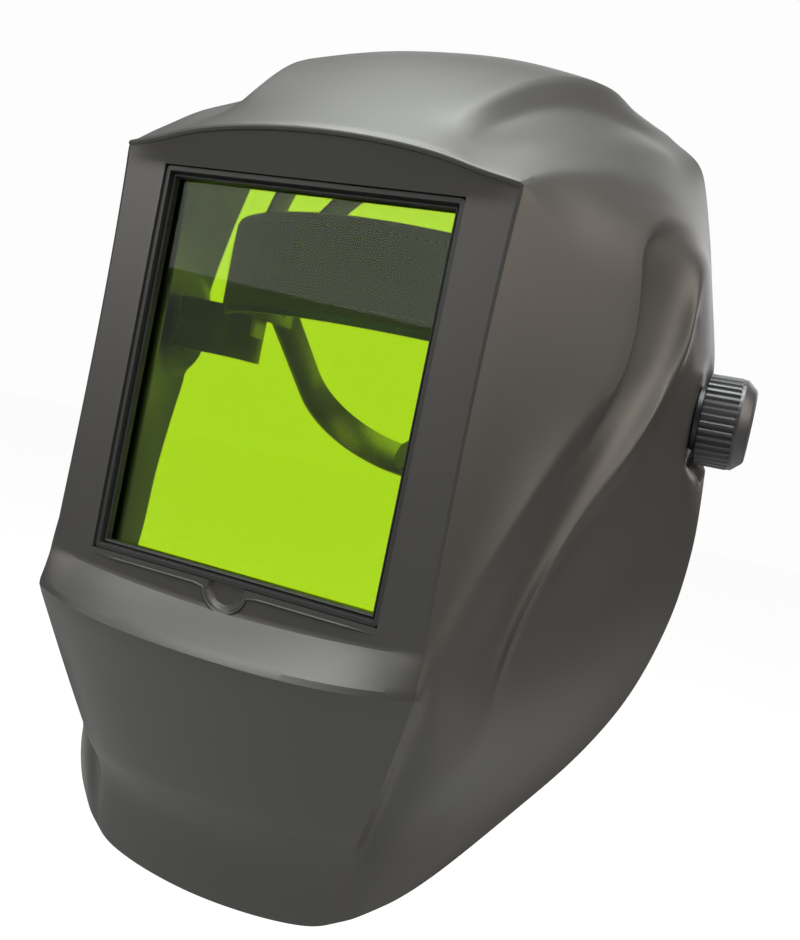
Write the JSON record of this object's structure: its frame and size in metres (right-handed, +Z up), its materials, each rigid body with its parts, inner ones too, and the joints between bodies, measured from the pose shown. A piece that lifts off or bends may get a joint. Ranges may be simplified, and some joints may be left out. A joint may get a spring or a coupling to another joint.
{
  "type": "welding helmet",
  "caption": "Welding helmet with a ribbed-knob tilt pivot, a tall green filter window, and an inner head harness with brow pad, crown straps and rear ratchet.",
  "frame": {"origin": "centre of the axis on which the shell tilts, midway between the two side knobs", "axes": "+X to the wearer's left along the tilt axis, -Y the way the face looks, +Z up along the window"},
  "size_m": [0.2674, 0.2672, 0.3165],
  "materials": {
    "shell": "moulded satin charcoal nylon",
    "seal": "black moulded seal",
    "clear_plate": "clear polycarbonate",
    "filter": "green tinted filter",
    "inner_frame": "black moulded plastic",
    "steel": "zinc plated steel",
    "harness": "black flexible plastic",
    "brow_pad": "brown sweatband",
    "rear_pad": "dark foam-backed cloth",
    "friction": "fibre washer",
    "knob": "moulded charcoal plastic",
    "brass": "turned brass",
    "pinion": "natural acetal"
  },
  "bodies": {
    "harness": {"brow_band": "harness", "brow_pad": "brow_pad", "arm_left": "harness", "arm_right": "harness", "arm_rivets": "harness", "pivot_bolt_left": "steel", "pivot_bolt_right": "steel", "friction_disc_left": "friction", "friction_disc_right": "friction", "crown_strap_front_left": "harness", "crown_strap_front_right": "harness", "crown_strap_rear_left": "harness", "crown_strap_rear_right": "harness", "strap_rivets": "harness", "crown_pegs": "harness", "band_pegs": "harness", "ratchet_housing": "harness", "ratchet_cover": "harness", "cover_screws": "steel", "rear_pad": "rear_pad"},
    "shell": {"helmet_shell": "shell", "window_seal": "seal", "cover_plate": "clear_plate", "filter_plate": "filter", "inner_plate": "clear_plate", "plate_retainer": "inner_frame", "plate_carrier": "inner_frame", "carrier_screws": "steel", "latch_screws": "steel"},
    "latch_top": {"latch_top": "inner_frame"},
    "latch_bottom": {"latch_bottom": "inner_frame"},
    "knob_left": {"knob_left": "knob", "knob_nut_left": "brass"},
    "knob_right": {"knob_right": "knob", "knob_nut_right": "brass"},
    "rear_knob": {"rear_knob": "knob", "pinion": "pinion", "pinion_screw": "steel"},
    "rear_band_left": {"rear_band_left": "harness"},
    "rear_band_right": {"rear_band_right": "harness"}
  },
  "joints": [
    {"name": "shell_tilt", "type": "hinge", "parent": "harness", "child": "shell", "pos_m": [0, 0, 0], "axis": [-1, 0, 0], "range_deg": [0, 60]},
    {"name": "knob_left_turn", "type": "hinge", "parent": "harness", "child": "knob_left", "pos_m": [0.1137, 0, 0], "axis": [1, 0, 0], "range_deg": [0, 270]},
    {"name": "knob_right_turn", "type": "hinge", "parent": "harness", "child": "knob_right", "pos_m": [-0.1137, 0, 0], "axis": [1, 0, 0], "range_deg": [0, 270]},
    {"name": "rear_knob_turn", "type": "hinge", "parent": "harness", "child": "rear_knob", "pos_m": [0, 0.10974, -0.04374], "axis": [0, 0.8192, -0.5736], "range_deg": [0, 60]},
    {"name": "rear_band_left_slide", "type": "slide", "parent": "harness", "child": "rear_band_left", "axis": [1, 0, 0], "range_m": [0, 0.00785]},
    {"name": "rear_band_right_slide", "type": "slide", "parent": "harness", "child": "rear_band_right", "axis": [-1, 0, 0], "range_m": [0, 0.00785]},
    {"name": "latch_top_turn", "type": "hinge", "parent": "shell", "child": "latch_top", "pos_m": [0, -0.1035, 0.0505], "axis": [0, 1, 0], "range_deg": [0, 90]},
    {"name": "latch_bottom_turn", "type": "hinge", "parent": "shell", "child": "latch_bottom", "pos_m": [0, -0.1035, -0.0925], "axis": [0, 1, 0], "range_deg": [0, 90]}
  ],
  "couplings": [
    {"joint": "rear_band_left_slide", "follows": "rear_knob_turn", "m_per_rad": 0.0075},
    {"joint": "rear_band_right_slide", "follows": "rear_knob_turn", "m_per_rad": 0.0075}
  ]
}
